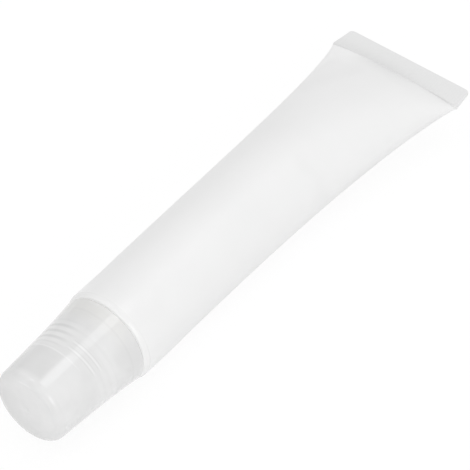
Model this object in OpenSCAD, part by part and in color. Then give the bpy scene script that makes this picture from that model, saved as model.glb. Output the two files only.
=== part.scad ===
// A filled squeeze tube of adhesive with a clear screw cap, lying on its side.
// The axis runs along X, from the closed end of the cap to the flat weld of the sleeve.
// Places along the axis are measured from the round end of the sleeve, towards the weld.

/* [Sleeve] */
// Outer radius of the round end of the sleeve
sleeve_r = 9.5; // [8.8:0.1:14]
// Length of the sleeve from its round end to the weld
sleeve_len = 86.2; // [60:0.2:130]
// Thickness of the sleeve wall
sleeve_wall = 0.45; // [0.3:0.05:0.7]
// How late along its length the sleeve flattens
flatten_power = 3.5; // [2.6:0.1:5]
// Depth by which the contents press the underside against the ground
belly_sag = 0.35; // [0:0.05:0.6]
// Sideways bow of the soft sleeve at its middle
sleeve_bow = 0.6; // [0:0.1:1.5]

/* [Weld] */
// Length of the flat weld that closes the sleeve
weld_len = 5.4; // [3:0.1:9]
// Thickness of the pressed weld
weld_thick = 0.8; // [0.6:0.05:1]
// Length of the step from the body down to the weld
weld_step = 0.35; // [0.2:0.05:1]
// How far each side of the weld draws in towards its outer edge
weld_draw = 0.55; // [0:0.05:1.5]
// Radius of the outer corners of the weld
weld_corner = 0.8; // [0.3:0.1:2]
// Half height of the slit that is left inside, next to the weld
slit_half = 0.1; // [0.06:0.02:0.3]

/* [Head] */
// Length of the head's skirt inside the sleeve
skirt_len = 4; // [2:0.2:8]
// Thickness of the skirt
skirt_wall = 0.9; // [0.6:0.1:1.4]
// Clearance between the skirt and the sleeve
skirt_gap = 0.05; // [0.03:0.01:0.1]
// Radius of the rounded shoulder corner
shoulder_round = 1.3; // [0.8:0.1:2]
// Rise of the shoulder from its corner to the foot of the neck
shoulder_rise = 1.2; // [0.6:0.1:2]
// Radius of the neck at the root of its thread
neck_r = 6; // [5.5:0.1:6.6]
// Distance from the round end of the sleeve to the top of the neck
neck_reach = 13.9; // [9:0.1:16]
// Thickness of the neck wall
neck_wall = 1.1; // [0.8:0.1:1.6]
// Thickness of the wall that closes the top of the neck
neck_top = 1; // [0.6:0.1:1.6]
// Chamfer around the top of the neck
neck_chamfer = 0.15; // [0.05:0.05:0.3]
// Radius of the orifice
orifice_r = 1.4; // [0.6:0.1:2.5]
// Depth of the neck's thread
thread_depth = 0.5; // [0.3:0.05:0.7]

/* [Cap] */
// Length of the clear space inside the cap, beyond the neck
cap_hollow_len = 7; // [4:0.1:16]
// How far the rim stands inside the outline of the sleeve
cap_rim_inset = 0.3; // [0.1:0.05:0.6]
// Growth of the outer radius for each millimetre towards the rim
cap_draft = 0.053; // [0.02:0.001:0.08]
// Extra radius of the flared rim
cap_flare = 0.45; // [0.1:0.05:0.8]
// Power of the flare: higher keeps it closer to the rim
cap_flare_power = 4; // [2:1:6]
// Radius of the rounded corner at the closed end
cap_round = 1.6; // [0.8:0.1:2.4]
// Height of the low dome on the closed end
cap_dome = 0.4; // [0.1:0.05:1]
// Thickness of the closed end
cap_top = 1.2; // [0.8:0.1:2]
// Thickness of the rim's wall
cap_rim_wall = 0.95; // [0.6:0.05:1.2]
// Depth of the wide mouth inside the rim
cap_mouth = 2.6; // [2.2:0.1:4]
// Clearance between the thread's crests and the bore of the cap
thread_gap = 0.15; // [0.08:0.01:0.25]
// Radius of the clear space beyond the neck
cap_hollow_r = 5.6; // [4.5:0.1:5.7]
// Clearance between the cap and the shoulder, and between its seat and the neck
seat_gap = 0.1; // [0.05:0.01:0.3]
// Radius of the moulding gate's dimple
gate_r = 0.6; // [0.3:0.1:1]
// Depth of the moulding gate's dimple
gate_depth = 0.15; // [0.05:0.05:0.3]

/* [Adhesive] */
// Clearance between the adhesive and the walls around it
fill_gap = 0.05; // [0.03:0.01:0.1]
// Empty length between the adhesive and the weld
fill_short = 1.2; // [0.6:0.1:8]

/* [Hidden] */

ring_points = 48;
ring_count = 26;
fill_points = 40;
fill_rings = 22;
corner_steps = 6;
outline_steps = 14;
round_fn = 96;
// directions, in degrees, of the first and last points of a rounded corner
corner_from = -10;
corner_to = -90;

// ratio of a flattened tube's half width to its round radius
flat_ratio = PI / 2;
// shape of the curve from round to flat that keeps the girth the same
girth_power = 1.75;
// height of a section of the sleeve at its weld
slit_outer = slit_half + sleeve_wall;
weld_half_w = sleeve_r * flat_ratio;
// steepness of the thin edges of the weld's section
weld_edge = 8;

skirt_r = sleeve_r - sleeve_wall - skirt_gap;
skirt_bore_r = skirt_r - skirt_wall;
shoulder_r = sleeve_r - shoulder_round;
neck_foot = shoulder_round + shoulder_rise;
neck_bore_r = neck_r - neck_wall;

cap_rim = shoulder_round + seat_gap;
cap_seat = neck_reach + seat_gap;
cap_end = cap_seat + cap_hollow_len + cap_top;
cap_len = cap_end - cap_rim;
cap_end_r = sleeve_r - cap_rim_inset - cap_draft * cap_len - cap_flare;
cap_bore_r = neck_r + thread_depth + thread_gap;
cap_mouth_end = cap_rim + cap_mouth;
cap_mouth_taper = 1;
cap_tip = cap_end + cap_dome;

axis_h = sleeve_r;
x_shift = (cap_tip - sleeve_len - weld_len) / 2;

// half height and half width of the sleeve at place s
function sleeve_h(s) =
    (sleeve_r - slit_outer) * sqrt(max(0, 1 - pow(max(0, s) / sleeve_len, flatten_power))) + slit_outer;
function sleeve_w(h) =
    sleeve_r * (flat_ratio - (flat_ratio - 1) * pow(h / sleeve_r, girth_power));
// 0 at the rigid skirt and at the weld, 1 midway: how freely the sleeve gives
function soft(s) = s <= skirt_len ? 0 : sin(180 * (s - skirt_len) / (sleeve_len - skirt_len));
// one point of the sleeve's section at place s, a distance in from its outer face
function sleeve_point(s, a, inset) =
    let (h = sleeve_h(s), w = sleeve_w(h) - inset, low = h + belly_sag * soft(s) - inset)
    [x_shift + s,
     w * cos(a) + sleeve_bow * soft(s),
     axis_h + (sin(a) < 0 ? max(low * sin(a), inset - axis_h) : (h - inset) * sin(a))];
// stations that crowd towards the weld, where the section changes fastest
function station(k, count, last) = last * (1 - pow(1 - k / count, 2));
function sleeve_ring(s, n, inset) = [for (i = [0:n - 1]) sleeve_point(s, 360 * i / n, inset)];
// one ring of the pressed weld: flat, with thin edges
function weld_ring(s, half_w) =
    [for (i = [0:ring_points - 1]) let (a = 360 * i / ring_points)
        [x_shift + s, half_w * cos(a), axis_h + weld_thick / 2 * max(-1, min(1, weld_edge * sin(a)))]];
// half width of the weld at the angle a of its rounded outer corner
function weld_w(a) = weld_half_w - weld_draw - weld_corner * (1 - cos(a));

// triangles between ring k and ring k + 1 of n points, wound for an outward face
function band(k, n, start) =
    [for (i = [0:n - 1], half = [0:1])
        let (j = (i + 1) % n, a = start + k * n, b = a + n)
        half == 0 ? [a + i, b + i, a + j] : [a + j, b + i, b + j]];
// triangles across the ring of n points from start, in strips from its upper to its lower half
function lid(start, n) = concat(
    [[start, start + n - 1, start + 1]],
    [for (i = [1:n / 2 - 2], half = [0:1])
        half == 0 ? [start + i, start + n - i, start + i + 1]
                  : [start + i + 1, start + n - i, start + n - i - 1]],
    [[start + n / 2 - 1, start + n / 2 + 1, start + n / 2]]);
function flipped(faces) = [for (f = faces) [f[2], f[1], f[0]]];
function bands(first, last, n, start) = [for (k = [first:last]) each band(k, n, start)];

module sleeve() {
    corner = [for (k = [0:corner_steps]) 90 * k / corner_steps];
    outer = concat(
        [for (k = [0:ring_count]) sleeve_ring(station(k, ring_count, sleeve_len), ring_points, 0)],
        [weld_ring(sleeve_len + weld_step, weld_half_w)],
        [for (a = corner) weld_ring(sleeve_len + weld_len - weld_corner * (1 - sin(a)), weld_w(a))]);
    inner = [for (k = [0:ring_count])
        sleeve_ring(station(k, ring_count, sleeve_len), ring_points, sleeve_wall)];
    outer_last = len(outer) - 1;
    inner_start = len(outer) * ring_points;
    points = [for (r = concat(outer, inner)) each r];
    mouth = [for (i = [0:ring_points - 1], half = [0:1]) let (j = (i + 1) % ring_points)
        half == 0 ? [i, j, inner_start + i] : [j, inner_start + j, inner_start + i]];
    color([0.93, 0.93, 0.92])
        polyhedron(points, concat(
            bands(0, outer_last - 1, ring_points, 0),
            flipped(bands(0, ring_count - 1, ring_points, inner_start)),
            mouth,
            lid(outer_last * ring_points, ring_points),
            flipped(lid(inner_start + ring_count * ring_points, ring_points))), convexity = 6);
}

// turns an outline of [radius, place] about the tube's axis
module turned(outline) {
    translate([x_shift, 0, axis_h]) rotate([0, 90, 0])
        rotate_extrude($fn = round_fn) polygon(outline);
}

// the points of a rounded corner about a centre given as [radius, place]
function arc(centre, r) =
    [for (k = [0:corner_steps]) let (a = corner_from + (corner_to - corner_from) * k / corner_steps)
        centre + r * [cos(a), sin(a)]];

module head() {
    outline = concat(
        [[skirt_r, skirt_len], [skirt_r, 0], [sleeve_r, 0]],
        arc([shoulder_r, 0], shoulder_round),
        [[neck_r, -neck_foot],
         [neck_r, neck_chamfer - neck_reach],
         [neck_r - neck_chamfer, -neck_reach],
         [orifice_r, -neck_reach],
         [orifice_r, neck_top - neck_reach],
         [neck_bore_r, neck_top - neck_reach],
         [neck_bore_r, skirt_wall - neck_foot],
         [skirt_bore_r, skirt_wall - shoulder_round],
         [skirt_bore_r, skirt_len]]);
    color([0.95, 0.94, 0.9]) turned(outline);
}

// outer radius of the cap at a distance d from its closed end
function cap_r(d) = cap_end_r + cap_draft * d + cap_flare * pow(d / cap_len, cap_flare_power);

module cap() {
    rim_bore_r = cap_r(cap_len) - cap_rim_wall;
    dome_r = cap_end_r - cap_round;
    dome = [for (k = [0:corner_steps - 1]) let (r = dome_r + (gate_r - dome_r) * k / (corner_steps - 1))
        [r, -cap_end - cap_dome * (1 - pow(r / dome_r, 2))]];
    outline = concat(
        [for (k = [0:outline_steps]) let (d = cap_len - (cap_len - cap_round) * k / outline_steps)
            [cap_r(d), d - cap_end]],
        arc([cap_r(cap_round) - cap_round, cap_round - cap_end], cap_round),
        dome,
        [[gate_r, gate_depth - cap_tip],
         [0, gate_depth - cap_tip],
         [0, cap_top - cap_end],
         [cap_hollow_r, cap_top - cap_end],
         [cap_hollow_r, -cap_seat],
         [cap_bore_r, -cap_seat],
         [cap_bore_r, -cap_mouth_end - cap_mouth_taper],
         [rim_bore_r, -cap_mouth_end],
         [rim_bore_r, -cap_rim]]);
    color([0.85, 0.87, 0.88, 0.5]) turned(outline);
}

// rings of the adhesive in the head, as [radius, place] from the orifice wall to the skirt's end
function fill_front() = [
    [neck_bore_r - fill_gap, neck_top - neck_reach + fill_gap],
    [neck_bore_r - fill_gap, skirt_wall - neck_foot + fill_gap],
    [skirt_bore_r - fill_gap, skirt_wall - shoulder_round + 2 * fill_gap],
    [skirt_bore_r - fill_gap, skirt_len + fill_gap]];

module adhesive() {
    inset = sleeve_wall + fill_gap;
    fill_start = skirt_len + fill_gap;
    fill_len = sleeve_len - fill_short - fill_start;
    rings = concat(
        [for (p = fill_front()) [for (i = [0:fill_points - 1]) let (a = 360 * i / fill_points)
            [x_shift + p[1], p[0] * cos(a), axis_h + p[0] * sin(a)]]],
        [for (k = [0:fill_rings])
            sleeve_ring(fill_start + station(k, fill_rings, fill_len) + 0.001, fill_points, inset)]);
    last = len(rings) - 1;
    color("white")
        polyhedron([for (r = rings) each r], concat(
            flipped(lid(0, fill_points)),
            bands(0, last - 1, fill_points, 0),
            lid(last * fill_points, fill_points)), convexity = 4);
}

sleeve();
head();
cap();
adhesive();
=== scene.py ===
"""A frosted squeeze tube of white adhesive with a clear screw cap, lying on a pale floor."""
import math

import bmesh
import bpy
from mathutils import Matrix, Vector


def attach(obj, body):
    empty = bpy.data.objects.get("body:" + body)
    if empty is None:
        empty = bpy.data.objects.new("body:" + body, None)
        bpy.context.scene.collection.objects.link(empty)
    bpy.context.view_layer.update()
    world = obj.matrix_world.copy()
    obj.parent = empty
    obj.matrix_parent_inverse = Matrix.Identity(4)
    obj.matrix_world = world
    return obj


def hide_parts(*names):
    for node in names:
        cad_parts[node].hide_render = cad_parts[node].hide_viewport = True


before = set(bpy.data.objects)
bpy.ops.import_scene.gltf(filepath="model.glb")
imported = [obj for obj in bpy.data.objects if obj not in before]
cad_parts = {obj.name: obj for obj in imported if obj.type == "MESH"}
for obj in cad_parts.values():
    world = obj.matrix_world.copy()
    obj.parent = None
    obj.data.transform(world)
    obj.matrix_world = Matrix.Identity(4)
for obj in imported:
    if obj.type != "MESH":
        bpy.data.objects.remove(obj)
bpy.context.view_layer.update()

MM = 0.001

# The camera looks along the photograph's direction.
IMAGE_SIZE = 470
FOCAL_PIXELS = 2900
SENSOR_MM = 36
VIEW_AZIMUTH = 38.29
VIEW_ELEVATION = 46.24
VIEW_DISTANCE = 536.5
VIEW_TARGET = (-1.12, -2.25, 9.5)
CLIP_START_M = 0.01

FLOOR_REACH_M = 3.0

# Sizes in millimetres. Places along the axis count from the round end of the sleeve, with the weld
# on the positive side and the cap on the negative one.
SLEEVE_R = 9.5
SLEEVE_WALL = 0.45
SLEEVE_LEN = 86.2
FLATTEN_POWER = 3.5
GIRTH_POWER = 1.75
BELLY_SAG = 0.35
SLEEVE_BOW = 0.6
SLIT_HALF = 0.1
SKIRT_LEN = 4
SOFT_START = 8
WELD_LEN = 5.4
WELD_THICK = 0.8
WELD_STEP = 0.35
WELD_DRAW = 0.55
WELD_CORNER = 0.8
WELD_EDGE = 8
FILL_GAP = 0.05
FILL_SHORT = 1.2
HAIR = 0.001

SHOULDER_ROUND = 1.3
SHOULDER_RISE = 1.2
SKIRT_WALL = 0.9
SKIRT_GAP = 0.05
NECK_R = 6
NECK_REACH = 13.9
NECK_WALL = 1.1
NECK_TOP = 1
NECK_RIM = 0.15
ORIFICE_R = 1.4

# The thread, with its phase and the shape of its ridge as shares of a turn.
THREAD_DEPTH = 0.5
THREAD_GAP = 0.15
THREAD_PITCH = 1.5
THREAD_FROM = 6.2
THREAD_TO = 13.2
THREAD_FADE = 0.8
NECK_LEAD = 0.2
CAP_LEAD = 0.7
RIDGE_HALF = 0.36
RIDGE_FLANK = 0.2

CAP_GAP = 0.1
CAP_LEN = 20.8
CAP_RIM_INSET = 0.3
CAP_DRAFT = 0.053
CAP_FLARE = 0.45
CAP_FLARE_POWER = 4
CAP_ROUND = 1.6
CAP_DOME = 0.4
CAP_TOP = 1.2
CAP_RIM_WALL = 0.95
CAP_RIM_EDGE = 0.2
CAP_MOUTH = 2.6
CAP_STEP = 1
CAP_HOLLOW_R = 5.6
CAP_HOLLOW_ROUND = 0.8
GATE_R = 0.6
GATE_DEPTH = 0.1

# A sleeve that doesn't stretch is half its girth wide where it is pressed flat.
FLAT_RATIO = math.pi / 2

CAP_RIM = SHOULDER_ROUND + CAP_GAP
CAP_END = CAP_RIM + CAP_LEN
CAP_TIP = CAP_END + CAP_DOME
X_SHIFT = (CAP_TIP - SLEEVE_LEN - WELD_LEN) / 2
AXIS_H = SLEEVE_R

# How finely the meshes are divided.
SEGMENTS = 160
FILL_SEGMENTS = 96
START_LEN = 14
START_RINGS = 28
SLEEVE_RINGS = 90
FILL_RINGS = 60
WELD_RINGS = 12
CORNER_RINGS = 6
ROUND_STEPS = 12
HOLLOW_ROUND_STEPS = 6
HOLLOW_STEPS = 8
SIDE_STEPS = 40
TAPER_STEPS = 4
DOME_STEPS = 10
GATE_STEPS = 6
THREAD_STEPS = 96

# Edges are sharp past an angle in degrees, points merge within a distance in metres, and a point
# is on a cylinder within one in millimetres.
SHARP_ANGLE = 35
MERGE_M = 1e-7
ON_SURFACE = 0.01

# Where parts of the sleeve's look fade in, or in and out, behind its round end and along y.
POLISHED_ALONG = (0, 5)
# Lighter on the +y side towards the weld.
LIGHTER_ALONG = (SLEEVE_LEN - 24, SLEEVE_LEN - 8)
LIGHTER_ACROSS = (2, 9)
# Painted shade in the valley just before the weld.
VALLEY_SHADE_ALONG = (SLEEVE_LEN - 6, SLEEVE_LEN)
VALLEY_SHADE_ACROSS = (-8, 0, 2, 10)
WELD_ALONG = (SLEEVE_LEN - 0.25, SLEEVE_LEN + 0.15)
# Painted shade on one half of the weld's inner part.
BAND_SHADE_ALONG = (SLEEVE_LEN + 1, SLEEVE_LEN + 3.5)
BAND_SHADE_ACROSS = (-4, 4)
# A dark crease at the weld's inner edge, a pressed line deepened with painted shade.
CREASE_ALONG = (SLEEVE_LEN + 0.3, SLEEVE_LEN + 0.7)
CREASE_SHADE_ACROSS = (-16, -8)
CREASE_SHADE_FAINT = (0, 8)
RIB_PITCH = 0.6

# Where the head has a painted glow, ahead of the sleeve's round end and out from the axis.
GLOW_ALONG = (0.6, 1.3)
GLOW_OUT = (8.0, 8.4)

# Where parts of the cap's look fade in, or in and out, ahead of the sleeve's round end.
THREAD_ALONG = (THREAD_FROM, THREAD_FROM + 2, THREAD_TO - THREAD_FADE, THREAD_TO)
LIT_ALONG = (9.4, 10.0, 12.2, 12.8)
# Painted shade on the cap's dark side, along its hollow.
SIDE_SHADE_ALONG = (NECK_REACH - 1, NECK_REACH + 1, CAP_END - 2.5, CAP_END - 1)
RIM_ALONG = (THREAD_FROM - 3, THREAD_FROM + 1)
END_FACE_ALONG = (CAP_END - 0.6, CAP_END - 0.2)

# The same around the cap, from -1 on its light side to 1 on its dark one, which faces this y and z.
DARK_SIDE = (0.86, 0.51)
LIT_ACROSS = (0.3, 0.5)
ROOT_SHADE_ACROSS = (0.4, 0.75)
SIDE_SHADE_ACROSS = (0.26, 0.36)
RIM_ACROSS = (-0.5, 0.1)
NECK_GLINT_ACROSS = (-0.3, 0.2)
CORNER_GLINT_ACROSS = (0.3, 0.45, 0.65, 0.8)

# The same for the thread seen through the cap, in turns from the crest of its ridge.
CREST_TURNS = (0.04, 0.12)
GROOVE_TURNS = (0.12, 0.2, 0.25, 0.35)
ROOT_TURNS = (0.15, 0.45)

# Thin lines in the cap's look by their half widths, and the milky skin with its soft edge.
# The neck's end line and the end face's ring are painted highlights.
NECK_GLINT_HALF = 0.22
CORNER_GLINT_HALF = 0.35
CORNER_GLINT_R = 6.3
MOUTH_HALF = 0.3
SKIN = 0.4
SKIN_FADE = 0.02
END_FADE = 0.05
CORNER_FADE = 0.1

# Shares, light levels where 1 is white, and refractive indices.
MILKINESS = 0.78
BACKDROP_SHARE = 0.88
BACKDROP_WHITE = 1.03
ROOM_NEAR = 0.79
ROOM_FAR = 0.76
ROOM_TURN = (-0.1, 0.4)
SOFT_IOR = 1.5
CAP_IOR = 1.49


def grey(level):
    return (level, level, level, 1)


# Colours. A surface varies between the two of a pair.
SLEEVE_COLOURS = (grey(0.855), grey(0.9))
LIGHTER_COLOUR = grey(0.94)
VALLEY_SHADE_COLOUR = grey(0.79)
SMUDGE_COLOUR = grey(0.8)
WELD_COLOUR = grey(0.82)
BAND_SHADE_COLOUR = grey(0.74)
CREASE_SHADE_COLOUR = grey(0.55)
PASTE_COLOURS = ((0.88, 0.88, 0.87, 1), (0.92, 0.92, 0.915, 1))
HEAD_COLOURS = ((0.86, 0.86, 0.858, 1), (0.89, 0.89, 0.887, 1))
CAP_COLOURS = (grey(0.88), grey(0.935))
THREADED_COLOUR = grey(0.97)
RIM_COLOUR = (0.91, 0.903, 0.87, 1)
SIDE_SHADE_COLOUR = grey(0.76)
# The thread's roots seen through the cap, also painted shade there, and the line at the cap's mouth.
ROOT_COLOUR = grey(0.74)
FLOOR_COLOUR = grey(0.88)
# A painted glow for the head where the cap's rim shades it.
GLOW = grey(0.12)
BLACK = grey(0)
WHITE = grey(1)


class Value:
    """A number that varies over a surface. Python's operators on it add Math nodes."""

    def __init__(self, shader, socket):
        self.shader = shader
        self.socket = socket

    def math(self, operation, *others):
        inputs = dict(enumerate((self, *others)))
        return self.shader.add("Math", {"operation": operation}, inputs)

    def __add__(self, other):
        return self.math("ADD", other)

    def __sub__(self, other):
        return self.math("SUBTRACT", other)

    def __mul__(self, other):
        return self.math("MULTIPLY", other)

    def __truediv__(self, other):
        return self.math("DIVIDE", other)

    __radd__ = __add__
    __rmul__ = __mul__

    def __rsub__(self, other):
        return self.shader.add("Math", {"operation": "SUBTRACT"}, {0: other, 1: self})

    def __rtruediv__(self, other):
        return self.shader.add("Math", {"operation": "DIVIDE"}, {0: other, 1: self})

    def within(self, low, high):
        """0 below low, 1 above high, smooth between them"""
        settings = {"interpolation_type": "SMOOTHSTEP"}
        inputs = {"Value": self, "From Min": low, "From Max": high}
        return self.shader.add("MapRange", settings, inputs)

    def between(self, low, full, past, high):
        """0 below low, 1 from full to past, 0 above high"""
        return self.within(low, full) * (1 - self.within(past, high))

    def line_at(self, value, half):
        """1 on a thin line where this number has that value, 0 away from it"""
        return 1 - (self - value).math("ABSOLUTE").within(half * 0.4, half)


class Shader:
    """The nodes of one material or of the world."""

    def __init__(self, owner):
        self.owner = owner
        owner.use_nodes = True
        self.tree = owner.node_tree
        self.tree.nodes.clear()

    def add(self, kind, settings=None, inputs=None, out=0):
        """a node of a type: its settings are set first, then its sockets get values or links"""
        node = self.tree.nodes.new("ShaderNode" + kind)
        for name, value in (settings or {}).items():
            setattr(node, name, value)
        for name, value in (inputs or {}).items():
            if isinstance(value, Value):
                self.tree.links.new(value.socket, node.inputs[name])
            else:
                node.inputs[name].default_value = value
        return None if out is None else Value(self, node.outputs[out])

    def point(self):
        """the point on the piece, in metres"""
        return self.add("TexCoord", out="Object")

    def place(self, point):
        """how far a point is behind the sleeve's round end, its y and its height over the tube's
        axis, in millimetres"""
        x, y, z = (self.add("SeparateXYZ", inputs={"Vector": point}, out=i) for i in range(3))
        return x * (1 / MM) - X_SHIFT, y * (1 / MM), z * (1 / MM) - AXIS_H

    def noise(self, point, scale, detail):
        """a number about 0.5 that varies over the surface, with its scale in waves to the metre"""
        inputs = {"Vector": point, "Scale": scale, "Detail": detail, "Roughness": 0.5}
        return self.add("TexNoise", inputs=inputs)

    def blend(self, factor, first, second):
        """a colour between two colours"""
        sockets = {"Factor": factor, 6: first, 7: second}
        return self.add("Mix", {"data_type": "RGBA"}, sockets, out=2)

    def bump(self, height, strength, distance):
        inputs = {"Height": height, "Strength": strength, "Distance": distance}
        return self.add("Bump", inputs=inputs)

    def finish(self, surface, output="OutputMaterial"):
        """links the last shader to the output"""
        self.add(output, inputs={"Surface": surface}, out=None)
        return self.owner


def new_shader(name):
    return Shader(bpy.data.materials.new(name))


def soft(s):
    """0 at the rigid skirt and at the weld, 1 midway: how freely the sleeve gives"""
    past = max(0, s - SKIRT_LEN)
    ease = min(1, past / SOFT_START)
    return math.sin(math.pi * past / (SLEEVE_LEN - SKIRT_LEN)) * ease * ease * (3 - 2 * ease)


def sleeve_height(s):
    slit = SLIT_HALF + SLEEVE_WALL
    rest = 1 - (max(0, s) / SLEEVE_LEN) ** FLATTEN_POWER
    return (SLEEVE_R - slit) * math.sqrt(max(0, rest)) + slit


def sleeve_width(h):
    return SLEEVE_R * (FLAT_RATIO - (FLAT_RATIO - 1) * (h / SLEEVE_R) ** GIRTH_POWER)


def sleeve_point(s, a, inset):
    """a point of the sleeve's section at place s and angle a, a distance in from its outer face"""
    h = sleeve_height(s)
    w = sleeve_width(h) - inset
    low = h + BELLY_SAG * soft(s) - inset
    up = math.sin(a)
    z = max(low * up, inset - AXIS_H) if up < 0 else (h - inset) * up
    return Vector((X_SHIFT + s, w * math.cos(a) + SLEEVE_BOW * soft(s), AXIS_H + z)) * MM


def weld_point(s, a, half_w, half_h):
    up = max(-1, min(1, WELD_EDGE * math.sin(a)))
    return Vector((X_SHIFT + s, half_w * math.cos(a), AXIS_H + half_h * up)) * MM


def turned_point(r, s, a):
    return Vector((X_SHIFT + s, r * math.cos(a), AXIS_H + r * math.sin(a))) * MM


def loft(bm, rings, segments):
    """a tube of rings, each a function of the angle, that grows from its first ring by extrusion"""
    made = bmesh.ops.create_circle(bm, cap_ends=False, segments=segments, radius=MM)
    edges = list({e for v in made["verts"] for e in v.link_edges})
    verts = sorted(made["verts"], key=lambda v: math.atan2(v.co.y, v.co.x) % (2 * math.pi))
    angle = {v: 2 * math.pi * i / segments for i, v in enumerate(verts)}
    for v in verts:
        v.co = rings[0](angle[v])
    first = edges
    for ring in rings[1:]:
        grown = bmesh.ops.extrude_edge_only(bm, edges=edges)["geom"]
        new = [g for g in grown if isinstance(g, bmesh.types.BMVert)]
        grown_angle = {}
        for v in new:
            below = next(e.other_vert(v) for e in v.link_edges if e.other_vert(v) in angle)
            grown_angle[v] = angle[below]
            v.co = ring(grown_angle[v])
        edges = [g for g in grown if isinstance(g, bmesh.types.BMEdge)
                 and g.verts[0] in grown_angle and g.verts[1] in grown_angle]
        angle = grown_angle
    return first, edges


def piece(name, bm, material, body, node):
    """the finished mesh as an object that rides on a body and stands for a CAD node"""
    bmesh.ops.remove_doubles(bm, verts=bm.verts, dist=MERGE_M)
    bmesh.ops.recalc_face_normals(bm, faces=bm.faces)
    mesh = bpy.data.meshes.new(name)
    bm.to_mesh(mesh)
    bm.free()
    mesh.materials.append(material)
    mesh.shade_smooth()
    mesh.set_sharp_from_angle(angle=math.radians(SHARP_ANGLE))
    ob = bpy.data.objects.new(name, mesh)
    bpy.context.scene.collection.objects.link(ob)
    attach(ob, body)
    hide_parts(node)


def stations(count, last):
    """places that crowd towards the weld, where the section changes fastest, after an even start"""
    first = [START_LEN * k / START_RINGS for k in range(START_RINGS)]
    shares = [1 - (1 - k / count) ** 2 for k in range(count + 1)]
    return first + [START_LEN + (last - START_LEN) * share for share in shares]


def weld_rings():
    """the rings of the weld, from the flattened sleeve to the rounded corners of its end"""
    half_w = SLEEVE_R * FLAT_RATIO
    first = SLEEVE_LEN + WELD_STEP
    weld_end = SLEEVE_LEN + WELD_LEN
    straight = weld_end - WELD_CORNER - first
    places = []
    for k in range(WELD_RINGS):
        share = k / WELD_RINGS
        places.append((first + straight * share, half_w - WELD_DRAW * share))
    for k in range(CORNER_RINGS + 1):
        turn_by = math.pi / 2 * k / CORNER_RINGS
        s = weld_end - WELD_CORNER * (1 - math.sin(turn_by))
        places.append((s, half_w - WELD_DRAW - WELD_CORNER * (1 - math.cos(turn_by))))
    return [lambda a, s=s, w=w: weld_point(s, a, w, WELD_THICK / 2) for s, w in places]


def sleeve_rings(inset, first, count, last):
    """rings of the sleeve's section, a distance in from its outer face"""
    return [lambda a, s=s: sleeve_point(first + s, a, inset) for s in stations(count, last)]


def sleeve_piece(material):
    bm = bmesh.new()
    outer = sleeve_rings(0, 0, SLEEVE_RINGS, SLEEVE_LEN) + weld_rings()
    inner = sleeve_rings(SLEEVE_WALL, 0, SLEEVE_RINGS, SLEEVE_LEN)
    mouth, end = loft(bm, outer, SEGMENTS)
    inner_mouth, slit = loft(bm, inner, SEGMENTS)
    bmesh.ops.bridge_loops(bm, edges=mouth + inner_mouth)
    bmesh.ops.contextual_create(bm, geom=end)
    bmesh.ops.contextual_create(bm, geom=slit)
    piece("squeeze_sleeve", bm, material, "tube", "sleeve")


def adhesive_piece(material):
    bore = NECK_R - NECK_WALL - FILL_GAP
    skirt_bore = SLEEVE_R - SLEEVE_WALL - SKIRT_GAP - SKIRT_WALL - FILL_GAP
    front = [(bore, NECK_TOP - NECK_REACH + FILL_GAP),
             (bore, SKIRT_WALL - SHOULDER_ROUND - SHOULDER_RISE + FILL_GAP),
             (skirt_bore, SKIRT_WALL - SHOULDER_ROUND + 2 * FILL_GAP),
             (skirt_bore, SKIRT_LEN + FILL_GAP)]
    rings = [lambda a, r=r, s=s: turned_point(r, s, a) for r, s in front]
    start = SKIRT_LEN + FILL_GAP
    rings += sleeve_rings(SLEEVE_WALL + FILL_GAP, start + HAIR, FILL_RINGS,
                          SLEEVE_LEN - FILL_SHORT - start)
    bm = bmesh.new()
    first, last = loft(bm, rings, FILL_SEGMENTS)
    bmesh.ops.contextual_create(bm, geom=first)
    bmesh.ops.contextual_create(bm, geom=last)
    piece("adhesive_fill", bm, material, "tube", "adhesive")


def turn(bm, outline, steps):
    """spins an open or closed outline of (radius, place) about the tube's axis"""
    verts = [bm.verts.new(turned_point(r, s, 0)) for r, s in outline]
    edges = [bm.edges.new(pair) for pair in zip(verts, verts[1:])]
    if outline[0][0] > 0:
        edges.append(bm.edges.new((verts[-1], verts[0])))
    centre = Vector((0, 0, AXIS_H * MM))
    bmesh.ops.spin(bm, geom=verts + edges, cent=centre, axis=(1, 0, 0), dvec=(0, 0, 0),
                   angle=2 * math.pi, space=Matrix(), steps=steps, use_merge=True, use_duplicate=False)


def arc(centre_r, centre_s, radius, first, last, steps):
    """points of (radius, place) along an arc, between two directions in degrees"""
    turns = [math.radians(first + (last - first) * k / steps) for k in range(steps + 1)]
    return [(centre_r + radius * math.cos(t), centre_s + radius * math.sin(t)) for t in turns]


def line(r0, s0, r1, s1, count):
    """points after the first and up to the second, evenly spaced"""
    return [(r0 + (r1 - r0) * k / count, s0 + (s1 - s0) * k / count) for k in range(1, count + 1)]


def thread_height(s, a, lead):
    """height of a screw thread's ridge, 0 to 1, at a distance s ahead of the sleeve and angle a"""
    phase = (s / THREAD_PITCH + a / (2 * math.pi) + lead) % 1
    ridge = max(0, min(1, (RIDGE_HALF - abs(phase - 0.5)) / RIDGE_FLANK))
    fade = min(1, (s - THREAD_FROM) / THREAD_FADE, (THREAD_TO - s) / THREAD_FADE)
    return ridge * max(0, fade)


def cut_thread(bm, radius, depth, lead):
    """raises a helical ridge on the cylinder of that radius, inwards where depth is negative"""
    for v in bm.verts:
        x, y, z = v.co / MM
        z -= AXIS_H
        r = math.hypot(y, z)
        s = X_SHIFT - x
        if abs(r - radius) < ON_SURFACE and THREAD_FROM <= s <= THREAD_TO:
            grow = 1 + depth * thread_height(s, math.atan2(z, y), lead) / r
            v.co = Vector((x, y * grow, AXIS_H + z * grow)) * MM


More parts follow.
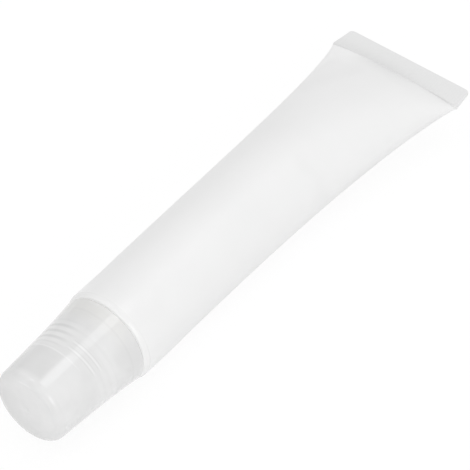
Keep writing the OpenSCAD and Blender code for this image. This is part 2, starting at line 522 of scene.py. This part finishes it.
def head_piece(material):
    skirt_r = SLEEVE_R - SLEEVE_WALL - SKIRT_GAP
    skirt_bore = skirt_r - SKIRT_WALL
    shoulder_r = SLEEVE_R - SHOULDER_ROUND
    foot = SHOULDER_ROUND + SHOULDER_RISE
    bore = NECK_R - NECK_WALL
    outline = [(skirt_r, SKIRT_LEN), (skirt_r, 0), (SLEEVE_R, 0)]
    outline += arc(shoulder_r, 0, SHOULDER_ROUND, first=-6, last=-90, steps=ROUND_STEPS)
    outline += line(*outline[-1], NECK_R, -foot, TAPER_STEPS)
    outline += line(NECK_R, -foot, NECK_R, NECK_RIM - NECK_REACH, THREAD_STEPS)
    outline += [(NECK_R - NECK_RIM, -NECK_REACH), (ORIFICE_R, -NECK_REACH),
                (ORIFICE_R, NECK_TOP - NECK_REACH), (bore, NECK_TOP - NECK_REACH),
                (bore, SKIRT_WALL - foot), (skirt_bore, SKIRT_WALL - SHOULDER_ROUND),
                (skirt_bore, SKIRT_LEN)]
    bm = bmesh.new()
    turn(bm, outline, SEGMENTS)
    cut_thread(bm, NECK_R, THREAD_DEPTH, NECK_LEAD)
    piece("threaded_head", bm, material, "tube", "head")


def cap_radius(d):
    """outer radius of the cap at a distance d from its closed end"""
    rim = SLEEVE_R - CAP_RIM_INSET
    end = rim - CAP_DRAFT * CAP_LEN - CAP_FLARE
    return end + CAP_DRAFT * d + CAP_FLARE * (d / CAP_LEN) ** CAP_FLARE_POWER


def cap_outside():
    """the cap's outer outline, from its rim to the gate's dimple at the middle of its end"""
    dome_r = cap_radius(0) - CAP_ROUND
    rim = CAP_LEN - CAP_RIM_EDGE
    outline = [(cap_radius(CAP_LEN) - CAP_RIM_EDGE, -CAP_RIM)]
    for k in range(SIDE_STEPS + 1):
        d = rim - (rim - CAP_ROUND) * k / SIDE_STEPS
        outline.append((cap_radius(d), d - CAP_END))
    outline += arc(cap_radius(CAP_ROUND) - CAP_ROUND, CAP_ROUND - CAP_END, CAP_ROUND,
                   first=-8, last=-90, steps=ROUND_STEPS)
    for k in range(DOME_STEPS + 1):
        r = dome_r + (GATE_R - dome_r) * k / DOME_STEPS
        outline.append((r, -CAP_END - CAP_DOME * (1 - (r / dome_r) ** 2)))
    for k in range(1, GATE_STEPS + 1):
        dip = GATE_DEPTH * math.sin(math.pi / 2 * k / GATE_STEPS)
        outline.append((GATE_R * (1 - k / GATE_STEPS), dip - CAP_TIP))
    return outline


def cap_inside(bore):
    """the cap's inner outline, from the middle of its hollow to its rim"""
    seat = NECK_REACH + CAP_GAP
    mouth_end = CAP_RIM + CAP_MOUTH
    rim_bore = cap_radius(CAP_LEN) - CAP_RIM_WALL
    outline = [(0, CAP_TOP - CAP_END)]
    outline += arc(CAP_HOLLOW_R - CAP_HOLLOW_ROUND, CAP_TOP + CAP_HOLLOW_ROUND - CAP_END,
                   CAP_HOLLOW_ROUND, first=-90, last=0, steps=HOLLOW_ROUND_STEPS)
    outline += line(*outline[-1], CAP_HOLLOW_R, -seat, HOLLOW_STEPS)
    outline += [(bore, -seat)]
    outline += line(bore, -seat, bore, -mouth_end - CAP_STEP, THREAD_STEPS)
    outline += line(*outline[-1], rim_bore, -mouth_end, TAPER_STEPS)
    outline += line(*outline[-1], rim_bore, -CAP_RIM - CAP_RIM_EDGE, TAPER_STEPS)
    return outline + [(rim_bore + CAP_RIM_EDGE, -CAP_RIM)]


def cap_piece(material):
    bore = NECK_R + THREAD_DEPTH + THREAD_GAP
    bm = bmesh.new()
    turn(bm, cap_inside(bore) + cap_outside(), SEGMENTS)
    cut_thread(bm, bore, -THREAD_DEPTH, CAP_LEAD)
    piece("screw_cap", bm, material, "cap", "cap")


def weld_colour(sh, before, behind, y):
    """a greyer weld, with painted shade on half its inner edge and a dark crease along the middle,
    partly painted shade
    """
    weld = behind.within(*WELD_ALONG)
    fused = sh.blend(weld, before, WELD_COLOUR)
    # Painted shade on one half of the weld's inner part.
    band_shade = weld * (1 - behind.within(*BAND_SHADE_ALONG)) * y.within(*BAND_SHADE_ACROSS)
    band_shaded = sh.blend(band_shade * 0.35, fused, BAND_SHADE_COLOUR)
    # A pressed line at the weld's inner edge, deepened with painted shade that is strongest for y from
    # -8 to 0.
    crease = weld * (1 - behind.within(*CREASE_ALONG)) * y.within(*CREASE_SHADE_ACROSS)
    strength = 0.6 - y.within(*CREASE_SHADE_FAINT) * 0.55
    return weld, sh.blend(crease * strength, band_shaded, CREASE_SHADE_COLOUR)


def frosted_plastic():
    """the sleeve: satin white, glossier at its round end, greyer and ribbed at the weld"""
    sh = new_shader("frosted_sleeve")
    point = sh.point()
    behind, y, _ = sh.place(point)
    cloud = sh.noise(point, 70, 3)
    grain = sh.noise(point, 2400, 3)
    smudge = sh.noise(point, 55, 2).within(0.58, 0.7)
    # Lighter on the +y side towards the weld.
    full = behind.within(*LIGHTER_ALONG) * y.within(*LIGHTER_ACROSS)
    # Painted shade in the valley where the sleeve falls to the weld.
    empty = behind.within(*VALLEY_SHADE_ALONG) * y.between(*VALLEY_SHADE_ACROSS)
    white = sh.blend(cloud, *SLEEVE_COLOURS)
    lightened = sh.blend(full * 0.8, white, LIGHTER_COLOUR)
    valley_shaded = sh.blend(empty, lightened, VALLEY_SHADE_COLOUR)
    smudged = sh.blend(smudge * 0.3, valley_shaded, SMUDGE_COLOUR)
    weld, base = weld_colour(sh, smudged, behind, y)
    ribs = (y * (2 * math.pi / RIB_PITCH)).math("SINE") * weld
    polished = 1 - behind.within(*POLISHED_ALONG)
    sockets = {"Base Color": base, "IOR": SOFT_IOR,
               "Roughness": cloud * 0.1 + 0.4 - polished * 0.17,
               "Normal": sh.bump(grain + ribs * 1.5, 0.25, 0.03 * MM)}
    return sh.finish(sh.add("BsdfPrincipled", inputs=sockets))


def satin(sh, point, colours, roughness):
    """the sockets of an opaque plastic or paste that varies between two close colours"""
    grain = sh.noise(point, 1500, 3)
    return {"Base Color": sh.blend(sh.noise(point, 180, 3), *colours), "IOR": SOFT_IOR,
            "Roughness": grain * 0.05 + roughness, "Normal": sh.bump(grain, 0.02, 0.01 * MM)}


def adhesive_paste():
    sh = new_shader("white_adhesive")
    sockets = satin(sh, sh.point(), PASTE_COLOURS, 0.45)
    return sh.finish(sh.add("BsdfPrincipled", inputs=sockets))


def from_axis(y, height):
    return (y * y + height * height).math("SQRT")


def moulded_plastic():
    """the head: satin, with a painted glow on its shoulder where the cap's rim shades it"""
    sh = new_shader("moulded_head")
    point = sh.point()
    behind, y, height = sh.place(point)
    shaded = (0 - behind).within(*GLOW_ALONG) * from_axis(y, height).within(*GLOW_OUT)
    sockets = satin(sh, point, HEAD_COLOURS, 0.24)
    # A painted glow on the shoulder where the cap's rim shades it.
    sockets["Emission Color"] = sh.blend(shaded, BLACK, GLOW)
    sockets["Emission Strength"] = 1
    return sh.finish(sh.add("BsdfPrincipled", inputs=sockets))


def seen_inside(sh, base, ahead, radius, angle, across):
    """the colour of the cap's skin, with the neck, thread and hollow faintly behind, and painted
    glints and shade
    """
    turns = ahead * (1 / THREAD_PITCH) + angle * (0.5 / math.pi) + NECK_LEAD
    from_crest = (turns.math("FRACT") - 0.5).math("ABSOLUTE")
    threaded = ahead.between(*THREAD_ALONG)
    lit = ahead.between(*LIT_ALONG) * (1 - across.math("ABSOLUTE").within(*LIT_ACROSS))
    # The thread's roots seen through, faint all round and darker on the dark side as painted shade.
    root_shade = from_crest.within(*ROOT_TURNS) * threaded * (across.within(*ROOT_SHADE_ACROSS) * 0.5 + 0.1)
    # Painted shade in the thread's grooves and painted glints on its crests, where the light falls.
    groove_shade = from_crest.between(*GROOVE_TURNS) * lit
    crest_glint = (1 - from_crest.within(*CREST_TURNS)) * lit
    # Painted shade on the cap's dark side, along its hollow.
    hollow = ahead.between(*SIDE_SHADE_ALONG) * across.within(*SIDE_SHADE_ACROSS)
    near_rim = (1 - ahead.within(*RIM_ALONG)) * across.within(*RIM_ACROSS)
    # A painted highlight along the neck's end, mostly on the cap's dark side.
    neck_end_glint = ahead.line_at(NECK_REACH, NECK_GLINT_HALF) * across.within(*NECK_GLINT_ACROSS)
    # A painted highlight in a ring on the end face, on part of the cap's dark side.
    corner = radius.line_at(CORNER_GLINT_R, CORNER_GLINT_HALF) * across.between(*CORNER_GLINT_ACROSS)
    end_corner_glint = corner * ahead.within(*END_FACE_ALONG)
    mouth = ahead.line_at(CAP_RIM + CAP_MOUTH, MOUTH_HALF)
    layers = ((threaded * 0.5, THREADED_COLOUR),
              (near_rim * 0.4, RIM_COLOUR),
              (hollow * 0.45, SIDE_SHADE_COLOUR),
              (root_shade + groove_shade * 0.3, ROOT_COLOUR),
              (crest_glint * 0.9, WHITE),
              (neck_end_glint * 0.6 + end_corner_glint * 0.7, WHITE),
              (mouth * 0.15, ROOT_COLOUR))
    for share, colour in layers:
        base = sh.blend(share, base, colour)
    return base


def outer_skin(ahead, radius):
    """1 in the outer part of the cap's wall, end and rounded corner, 0 in the inner part"""
    from_end = CAP_END - ahead
    depth = radius - from_end * CAP_DRAFT - cap_radius(0)
    side = depth.within(-SKIN - SKIN_FADE, -SKIN + SKIN_FADE)
    end = 1 - from_end.within(CAP_TOP / 2 - END_FADE, CAP_TOP / 2 + END_FADE)
    past_hollow = radius.within(CAP_HOLLOW_R + 0.2, CAP_HOLLOW_R + 0.2 + CORNER_FADE)
    corner = past_hollow * (1 - from_end.within(CAP_ROUND, CAP_ROUND + CORNER_FADE))
    return side.math("MAXIMUM", end).math("MAXIMUM", corner)


def clear_plastic():
    """the cap: clear inside, with a milky outer skin that what is inside faintly shows through"""
    sh = new_shader("clear_cap")
    point = sh.point()
    behind, y, height = sh.place(point)
    ahead = 0 - behind
    radius = from_axis(y, height)
    across = (y * DARK_SIDE[0] + height * DARK_SIDE[1]) / radius
    cloud = sh.noise(point, 110, 3)
    wear = sh.noise(point, 900, 4).within(0.55, 0.75)
    base = sh.blend(cloud.within(0.3, 0.7), *CAP_COLOURS)
    skin = seen_inside(sh, base, ahead, radius, height.math("ARCTAN2", y), across)
    shared = {"IOR": CAP_IOR, "Normal": sh.bump(sh.noise(point, 300, 3), 0.15, 0.04 * MM)}
    sockets = {"Base Color": skin, "Roughness": wear * 0.12 + 0.06, **shared}
    milky = sh.add("BsdfPrincipled", inputs=sockets)
    sockets = {"Base Color": WHITE, "Roughness": wear * 0.08 + 0.03, "Transmission Weight": 1,
               **shared}
    clear = sh.add("BsdfPrincipled", inputs=sockets)
    share = outer_skin(ahead, radius) * (cloud * 0.1 + MILKINESS)
    return sh.finish(sh.add("MixShader", inputs={"Fac": share, 1: clear, 2: milky}))


def build_object():
    sleeve_piece(frosted_plastic())
    adhesive_piece(adhesive_paste())
    head_piece(moulded_plastic())
    cap_piece(clear_plastic())


def pale_floor():
    """pale and matt where light falls on it, and plain white to the camera, to gloss and to glass"""
    sh = new_shader("pale_floor")
    camera, gloss, glass = (sh.add("LightPath", out=f"Is {ray} Ray")
                            for ray in ("Camera", "Glossy", "Transmission"))
    direct = camera.math("MAXIMUM", gloss).math("MAXIMUM", glass)
    matte = sh.add("BsdfDiffuse", inputs={"Color": FLOOR_COLOUR})
    white = sh.add("Emission", inputs={"Color": WHITE, "Strength": BACKDROP_WHITE})
    share = direct * BACKDROP_SHARE
    return sh.finish(sh.add("MixShader", inputs={"Fac": share, 1: matte, 2: white}))


def floor_piece():
    bm = bmesh.new()
    bmesh.ops.create_grid(bm, x_segments=1, y_segments=1, size=FLOOR_REACH_M)
    mesh = bpy.data.meshes.new("floor")
    bm.to_mesh(mesh)
    bm.free()
    mesh.materials.append(pale_floor())
    ob = bpy.data.objects.new("floor", mesh)
    bpy.context.scene.collection.objects.link(ob)


def lamp(name, along, across, radiance, direction, distance):
    """a rectangular lamp that faces the tube, level along its axis, with its sizes in metres"""
    data = bpy.data.lights.new(name, "AREA")
    data.shape = "RECTANGLE"
    data.size = along
    data.size_y = across
    data.energy = math.pi * along * across * radiance
    ob = bpy.data.objects.new(name, data)
    bpy.context.scene.collection.objects.link(ob)
    away = Vector(direction).normalized()
    level = (Vector((1, 0, 0)) - away * away.x).normalized()
    turn_to = Matrix((level, away.cross(level), away)).transposed()
    ob.matrix_world = Matrix.Translation(away * distance) @ turn_to.to_4x4()


def studio_world():
    """an even white room, a little darker beyond the tube than on the camera's side"""
    sh = Shader(bpy.data.worlds.new("studio"))
    side = sh.add("SeparateXYZ", inputs={"Vector": sh.add("TexCoord", out="Generated")}, out="Y")
    near = sh.add("Background", inputs={"Color": WHITE, "Strength": ROOM_NEAR})
    far = sh.add("Background", inputs={"Color": WHITE, "Strength": ROOM_FAR})
    room = sh.add("MixShader", inputs={"Fac": side.within(*ROOM_TURN), 1: near, 2: far})
    bpy.context.scene.world = sh.finish(room, "OutputWorld")


def studio_light():
    studio_world()
    lamp("overhead_softbox", along=0.6, across=0.33, radiance=1.45,
         direction=(0.40, -0.17, 0.90), distance=0.9)
    lamp("key_softbox", along=0.5, across=0.5, radiance=3.0,
         direction=(-0.6, -0.7, 0.4), distance=1.2)
    lamp("far_softbox", along=0.2, across=0.2, radiance=3.0,
         direction=(-0.4, 0.3, 0.85), distance=0.9)


def photo_camera():
    data = bpy.data.cameras.new("camera")
    data.sensor_width = SENSOR_MM
    data.lens = FOCAL_PIXELS / IMAGE_SIZE * SENSOR_MM
    data.clip_start = CLIP_START_M
    ob = bpy.data.objects.new("camera", data)
    bpy.context.scene.collection.objects.link(ob)
    az, el = math.radians(VIEW_AZIMUTH), math.radians(VIEW_ELEVATION)
    forward = Vector((math.cos(el) * math.cos(az), math.cos(el) * math.sin(az), -math.sin(el)))
    ob.location = (Vector(VIEW_TARGET) - forward * VIEW_DISTANCE) * MM
    ob.rotation_euler = (-forward).to_track_quat("Z", "Y").to_euler()
    bpy.context.scene.camera = ob


photo_camera()
build_object()
floor_piece()
studio_light()
bpy.context.scene.view_settings.view_transform = "Standard"
